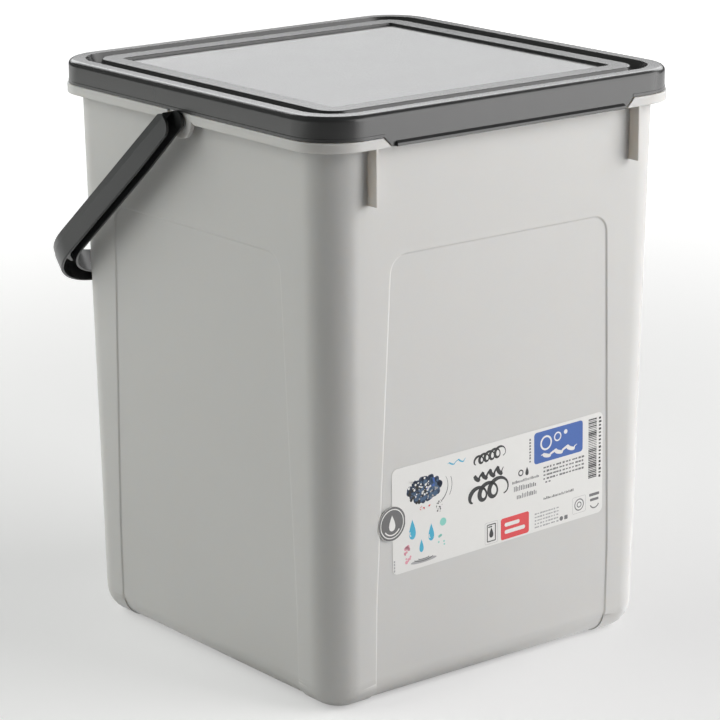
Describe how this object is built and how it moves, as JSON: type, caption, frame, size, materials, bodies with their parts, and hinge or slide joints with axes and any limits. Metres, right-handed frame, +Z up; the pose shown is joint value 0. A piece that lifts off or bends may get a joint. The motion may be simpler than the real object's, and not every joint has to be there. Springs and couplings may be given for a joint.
{
  "type": "laundry detergent container",
  "caption": "Square tapered storage pail with recessed side panels, a full-width press-on lid with a front finger tab, a swinging U-shaped carrying handle and a paper label.",
  "frame": {"origin": "centre of the flat base that the pail stands on", "axes": "+X to the right seen from the labelled front, +Y towards the back, +Z up"},
  "size_m": [0.2284, 0.2239, 0.275],
  "materials": {
    "tub_plastic": "satin warm-grey polypropylene",
    "lid_plastic": "satin anthracite polypropylene with a fine grained field",
    "handle_plastic": "satin anthracite polypropylene",
    "label_paper": "white coated paper with plain colour fields"
  },
  "bodies": {
    "tub": {"tub": "tub_plastic", "label": "label_paper"},
    "lid": {"lid": "lid_plastic"},
    "handle": {"handle": "handle_plastic"}
  },
  "joints": [
    {"name": "lid_lift", "type": "slide", "parent": "tub", "child": "lid", "axis": [0, 0, 1], "range_m": [0, 0.08]},
    {"name": "handle_swing", "type": "hinge", "parent": "tub", "child": "handle", "pos_m": [0, 0, 0.26], "axis": [1, 0, 0], "range_deg": [0, 259.2]}
  ]
}
